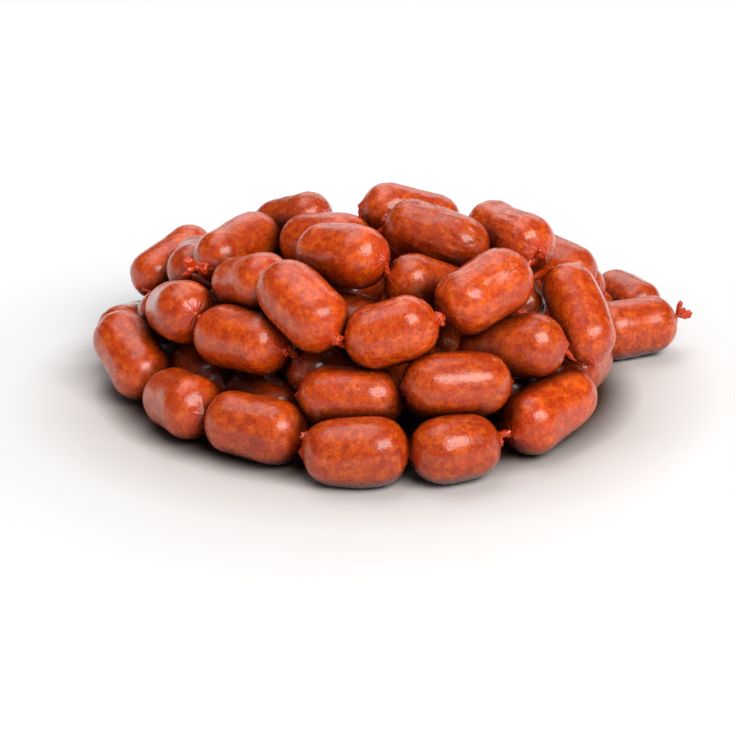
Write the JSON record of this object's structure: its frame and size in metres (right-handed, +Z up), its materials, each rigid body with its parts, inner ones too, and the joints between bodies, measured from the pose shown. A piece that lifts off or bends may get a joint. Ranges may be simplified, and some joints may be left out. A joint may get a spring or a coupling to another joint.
{
  "type": "string of sausage links",
  "caption": "Long string of short, plump sausage links in a mottled orange-red casing, twisted shut between links, lying in a loose heap with a frayed tuft at each free end",
  "frame": {"origin": "on the ground, under the middle of the heap's bounding box", "axes": "+X runs along the heap's longest extent, to the right as the picture shows it; +Y runs away from the picture's viewer; +Z is up and the heap's shortest extent"},
  "size_m": [0.3986, 0.3204, 0.1223],
  "materials": {
    "casing": "semi-gloss natural casing over coarse red meat, mottled with paler orange fat"
  },
  "bodies": {
    "root": {"link_string": "casing"}
  },
  "joints": []
}
